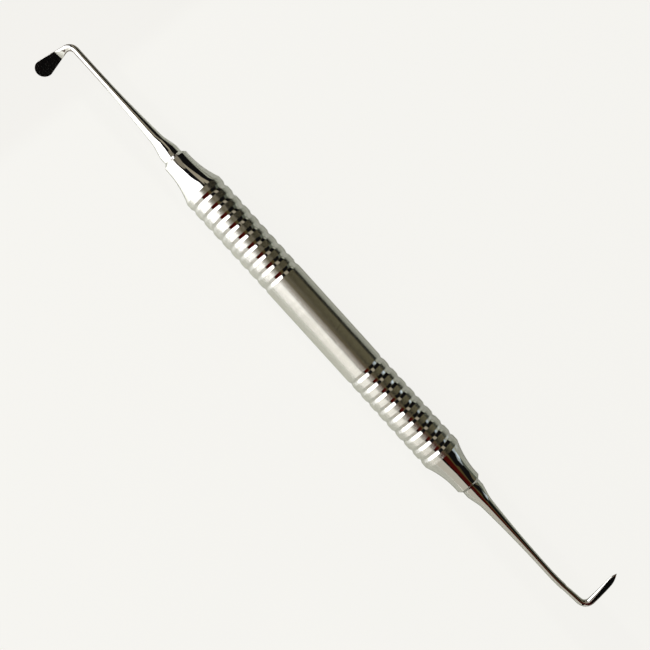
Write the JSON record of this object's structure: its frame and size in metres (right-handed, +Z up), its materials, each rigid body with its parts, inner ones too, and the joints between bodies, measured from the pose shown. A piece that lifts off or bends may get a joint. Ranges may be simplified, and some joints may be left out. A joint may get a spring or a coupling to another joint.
{
  "type": "sinus lift instrument",
  "caption": "Double-ended dental sinus lift instrument: round hollow handle with ringed grips, a round spoon tip at one end and a narrow curved pointed tip at the other, each bent aside.",
  "frame": {"origin": "on the handle's axis at the middle of its plain barrel", "axes": "+X along the handle from the spoon end to the pointed end, +Z up from the bench that the instrument lies on, +Y to the side that the pointed tip turns to"},
  "size_m": [0.1835, 0.0208, 0.01],
  "materials": {
    "handle_steel": "fine-turned satin stainless steel on the barrel and lands, bright polish in the ring grooves and on the flared noses",
    "tip_steel": "mirror-polished hardened stainless steel"
  },
  "bodies": {
    "root": {"handle": "handle_steel", "spoon_end": "tip_steel", "pointed_end": "tip_steel"}
  },
  "joints": []
}
